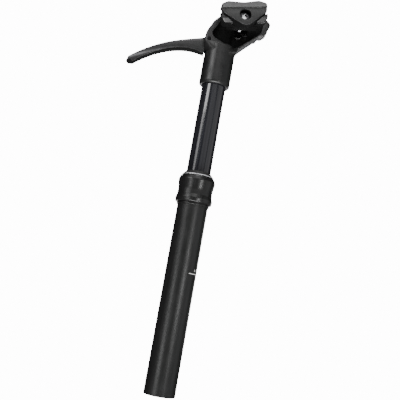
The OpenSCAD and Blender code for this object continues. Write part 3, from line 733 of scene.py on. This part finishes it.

# %% [markdown]
# The highlight's height in its slice runs from 0 at the bottom to 1 at the top, and it fades above and
# below as a bell curve. It goes into the same attribute as the worn edges, which count half here.

# %% Painted highlight along the lever
LINE_START = 0.05
LINE_CLIMB = 0.67
CLIMB_POWER = 2.2
LINE_WIDTH = 0.13
LEAST_HIGHLIGHT = 0.15
EDGE_SHARE = 0.5
ridge = lever_piece.data.attributes["edge_wear"].data
for vertex in lever_piece.data.vertices:
    outward = along_lever(vertex.co)
    up = (vertex.co.z - under[vertex.index]) / (above[vertex.index] - under[vertex.index])
    line = LINE_START + LINE_CLIMB * outward ** CLIMB_POWER
    strength = LEAST_HIGHLIGHT + (1.0 - LEAST_HIGHLIGHT) * outward ** 2
    wear_and_highlight = strength * math.exp(-((up - line) / LINE_WIDTH) ** 2)
    ridge[vertex.index].value = max(EDGE_SHARE * ridge[vertex.index].value, wear_and_highlight)
print("lever vertices rubbed:", sum(1 for entry in ridge if entry.value > 0.5))

# %% [markdown]
# ## The insertion mark
# A seatpost has a printed line that must stay inside the frame, with a row of small bars above it.
# A picture on the tube could show it, but ink has an edge, and Geometry Nodes make it as thin real
# shapes: they sweep a flat ribbon along an arc, and turn one bar about the axis again and again.

# %% Helpers for Geometry Nodes
def new_tree(name, inputs):
    """A node tree with a mesh output and named number inputs"""
    tree = bpy.data.node_groups.new(name, "GeometryNodeTree")
    tree.interface.new_socket(name="Mesh", in_out="OUTPUT", socket_type="NodeSocketGeometry")
    for label, value in inputs.items():
        kind = "NodeSocketInt" if isinstance(value, int) else "NodeSocketFloat"
        socket = tree.interface.new_socket(name=label, in_out="INPUT", socket_type=kind)
        socket.default_value = value
    return tree, tree.nodes.new("NodeGroupInput"), tree.nodes.new("NodeGroupOutput")


def add(tree, kind, links=(), **options):
    """A node with its options and its links set in one go"""
    node = tree.nodes.new(kind)
    for label, value in options.items():
        setattr(node, label, value)
    for target, source in links:
        tree.links.new(source, node.inputs[target])
    return node


def close_tree(tree, out, source, finish):
    """The end of every tree: real faces, and their material"""
    real = add(tree, "GeometryNodeRealizeInstances", [("Geometry", source)])
    painted = add(tree, "GeometryNodeSetMaterial", [("Geometry", real.outputs[0])])
    painted.inputs["Material"].default_value = finishes[finish]
    tree.links.new(painted.outputs[0], out.inputs[0])


# %% [markdown]
# A tree only runs as a modifier. The helper below gives it to an empty mesh with the sizes of one piece,
# keeps the result as a plain mesh, and removes the modifier before the piece is handed to its body.

# %% From a tree to a piece
def grow(name, tree, sizes, body, place=None):
    """Runs a tree with its sizes, and keeps the result as a plain mesh on a body"""
    piece = bpy.data.objects.new(name, bpy.data.meshes.new(name))
    bpy.context.collection.objects.link(piece)
    maker = piece.modifiers.new("maker", "NODES")
    maker.node_group = tree
    for socket in tree.interface.items_tree:
        if socket.in_out == "INPUT" and socket.name in sizes:
            maker[socket.identifier] = sizes[socket.name]
    graph = bpy.context.evaluated_depsgraph_get()
    mesh = bpy.data.meshes.new_from_object(piece.evaluated_get(graph))
    piece.modifiers.clear()
    piece.data = mesh
    if place is not None:
        mesh.transform(place)
    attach(piece, body)
    print(name, len(mesh.polygons), "faces")


# %% [markdown]
# The line goes round the back of the tube, a little over a third of the way. Its ribbon is as thin as
# a thick print, and half of it lies in the tube's wall.

# %% The line of the mark
TUBE_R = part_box("outer_tube")[1][0]
MARK_HEIGHT = 120.0 * MM


def line_tree():
    tree, given, out = new_tree("mark_line", {
        "Radius": TUBE_R, "Height": MARK_HEIGHT, "Start": 2.0, "Sweep": 2.0,
        "Width": 0.8 * MM, "Ink": 0.05 * MM})
    arc = add(tree, "GeometryNodeCurveArc", [
        ("Radius", given.outputs["Radius"]), ("Start Angle", given.outputs["Start"]),
        ("Sweep Angle", given.outputs["Sweep"])], mode="RADIUS")
    arc.inputs["Resolution"].default_value = 48
    rise = add(tree, "ShaderNodeCombineXYZ", [("Z", given.outputs["Height"])])
    raised = add(tree, "GeometryNodeTransform", [
        ("Geometry", arc.outputs["Curve"]), ("Translation", rise.outputs[0])])
    ribbon = add(tree, "GeometryNodeCurvePrimitiveQuadrilateral", [
        ("Width", given.outputs["Ink"]), ("Height", given.outputs["Width"])])
    swept = add(tree, "GeometryNodeCurveToMesh", [
        ("Curve", raised.outputs[0]), ("Profile Curve", ribbon.outputs[0])])
    swept.inputs["Fill Caps"].default_value = True
    close_tree(tree, out, swept.outputs[0], "mark_white")
    return tree


grow("insertion_line", line_tree(), {
    "Radius": TUBE_R, "Height": MARK_HEIGHT, "Start": math.radians(116), "Sweep": math.radians(128),
    "Width": 0.8 * MM, "Ink": 0.05 * MM}, "outer_post")

# %% [markdown]
# The bars are one small box, set out to the tube's radius and instanced on points that are all at the
# axis. Each instance is turned by its index, so the count and the step can change by themselves.

# %% The bars above the line
def ring_of_bars_tree(name, finish):
    tree, given, out = new_tree(name, {
        "Count": 6, "Radius": TUBE_R, "Height": MARK_HEIGHT, "First": 0.0, "Step": 0.2,
        "Bar Width": 0.9 * MM, "Bar Tall": 2.2 * MM, "Bar Thick": 0.06 * MM})
    points = add(tree, "GeometryNodePoints", [("Count", given.outputs["Count"])])
    size = add(tree, "ShaderNodeCombineXYZ", [
        ("X", given.outputs["Bar Thick"]), ("Y", given.outputs["Bar Width"]),
        ("Z", given.outputs["Bar Tall"])])
    bar = add(tree, "GeometryNodeMeshCube", [("Size", size.outputs[0])])
    offset = add(tree, "ShaderNodeCombineXYZ", [
        ("X", given.outputs["Radius"]), ("Z", given.outputs["Height"])])
    set_out = add(tree, "GeometryNodeTransform", [
        ("Geometry", bar.outputs["Mesh"]), ("Translation", offset.outputs[0])])
    index = add(tree, "GeometryNodeInputIndex")
    turn = add(tree, "ShaderNodeMath", [
        (0, index.outputs[0]), (1, given.outputs["Step"]), (2, given.outputs["First"])],
        operation="MULTIPLY_ADD")
    spin = add(tree, "ShaderNodeCombineXYZ", [("Z", turn.outputs[0])])
    placed = add(tree, "GeometryNodeInstanceOnPoints", [
        ("Points", points.outputs[0]), ("Instance", set_out.outputs[0]), ("Rotation", spin.outputs[0])])
    close_tree(tree, out, placed.outputs[0], finish)
    return tree


grow("insertion_bars", ring_of_bars_tree("mark_bars", "mark_white"), {
    "Count": 6, "Radius": TUBE_R, "Height": MARK_HEIGHT + 3.4 * MM, "First": math.radians(142),
    "Step": math.radians(14), "Bar Width": 0.9 * MM, "Bar Tall": 2.2 * MM, "Bar Thick": 0.06 * MM},
    "outer_post")

# %% [markdown]
# ## The clamp bolt's thread and knurl
# The bolt's end shows its thread past the nut, and its head is knurled so that fingers can start it.
# A Screw modifier could make the thread, but a spiral curve that carries a small ridge has its pitch and
# its turns as named inputs. The knurl is the ring of bars again, turned into the bolt's own direction.

# %% Thread ridge
bolt_frame = (Matrix.Translation((BOLT_X, 0.0, BOLT_Z))
              @ Matrix.Rotation(CLAMP_TILT, 4, "Y")
              @ Matrix.Rotation(math.radians(-90), 4, "X"))


def thread_tree():
    tree, given, out = new_tree("bolt_thread", {
        "Radius": 2.75 * MM, "Pitch": 1.0 * MM, "Turns": 0.8, "Start": 0.0, "Ridge": 0.24 * MM})
    length = add(tree, "ShaderNodeMath", [
        (0, given.outputs["Pitch"]), (1, given.outputs["Turns"])], operation="MULTIPLY")
    helix = add(tree, "GeometryNodeCurveSpiral", [
        ("Rotations", given.outputs["Turns"]), ("Start Radius", given.outputs["Radius"]),
        ("End Radius", given.outputs["Radius"]), ("Height", length.outputs[0])])
    helix.inputs["Resolution"].default_value = 24
    rise = add(tree, "ShaderNodeCombineXYZ", [("Z", given.outputs["Start"])])
    raised = add(tree, "GeometryNodeTransform", [
        ("Geometry", helix.outputs[0]), ("Translation", rise.outputs[0])])
    profile = add(tree, "GeometryNodeCurvePrimitiveCircle", [("Radius", given.outputs["Ridge"])])
    profile.inputs["Resolution"].default_value = 6
    swept = add(tree, "GeometryNodeCurveToMesh", [
        ("Curve", raised.outputs[0]), ("Profile Curve", profile.outputs[0])])
    swept.inputs["Fill Caps"].default_value = True
    close_tree(tree, out, swept.outputs[0], "zinc_steel")
    return tree


grow("bolt_end_thread", thread_tree(), {
    "Radius": 2.75 * MM, "Pitch": 1.0 * MM, "Turns": 0.8, "Start": -31.9 * MM, "Ridge": 0.24 * MM},
    "saddle_clamp", bolt_frame)

# %% [markdown]
# Forty narrow bars stand round the bolt's head. They could be cut out of it, but the bolt is a CAD piece,
# so they are added, and over half of each one's thickness lies in the head.

# %% Knurl
grow("bolt_head_knurl", ring_of_bars_tree("head_knurl", "pin_black"), {
    "Count": 40, "Radius": 4.98 * MM, "Height": 28.5 * MM, "First": 0.0, "Step": math.radians(9),
    "Bar Width": 0.36 * MM, "Bar Tall": 2.6 * MM, "Bar Thick": 0.22 * MM},
    "saddle_clamp", bolt_frame)
